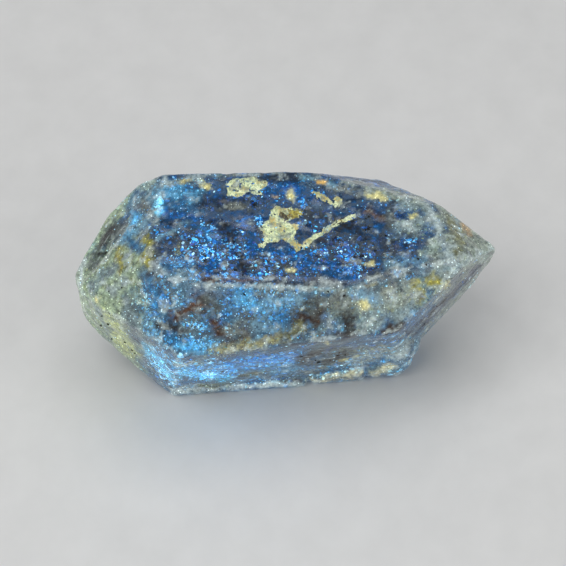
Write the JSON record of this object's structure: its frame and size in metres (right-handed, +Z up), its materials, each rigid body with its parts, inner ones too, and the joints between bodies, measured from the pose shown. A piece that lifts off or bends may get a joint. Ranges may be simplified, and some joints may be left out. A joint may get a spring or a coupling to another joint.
{
  "type": "petroleum quartz crystal",
  "caption": "Double-terminated petroleum quartz crystal lying on a long face, with a sharp point, a blunt end, growth ledges and fluorescing inclusions.",
  "frame": {"origin": "on the resting face's plane, under the middle of the crystal's bounding box", "axes": "+X along the crystal's long axis towards its sharp point, +Z up, -Y towards the viewer of the picture"},
  "size_m": [0.0302, 0.016, 0.0145],
  "materials": {
    "quartz": "see-through grey-blue quartz, satin growth faces, milky rims and a yellow-grey blunt end",
    "petroleum": "pale yellow fluorescing oil, in films, patches and drops inside the quartz",
    "blue_fluorescence": "bright blue and pale cyan fluorescing flecks on healed fractures",
    "bitumen": "dark brown to black bitumen specks and patches"
  },
  "bodies": {
    "root": {"quartz_crystal": "quartz"}
  },
  "joints": []
}
